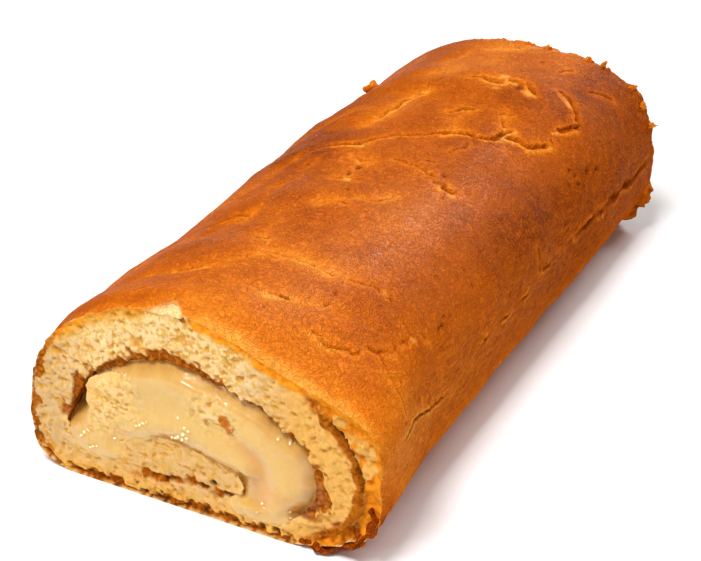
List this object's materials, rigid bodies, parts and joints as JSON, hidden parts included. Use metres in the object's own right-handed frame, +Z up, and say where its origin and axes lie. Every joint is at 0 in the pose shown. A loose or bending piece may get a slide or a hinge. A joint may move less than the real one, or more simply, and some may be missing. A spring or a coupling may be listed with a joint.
{
  "type": "swiss roll cake",
  "caption": "Long custard swiss roll with a browned crust, lying on its flat underside and cut square to show the rolled sponge and its filling.",
  "frame": {"origin": "centre of the flat underside of the roll's box, on the surface it lies on", "axes": "+Z up, +Y along the roll away from the shown cut, +X to the right as seen facing that cut"},
  "size_m": [0.1216, 0.2452, 0.0712],
  "materials": {
    "crust": "browned cake crust with a soft sheen, creased and cracked",
    "crumb": "pale yellow porous sponge crumb",
    "custard": "smooth glossy set custard"
  },
  "bodies": {
    "root": {"sponge": "crust", "custard": "custard"}
  },
  "joints": []
}
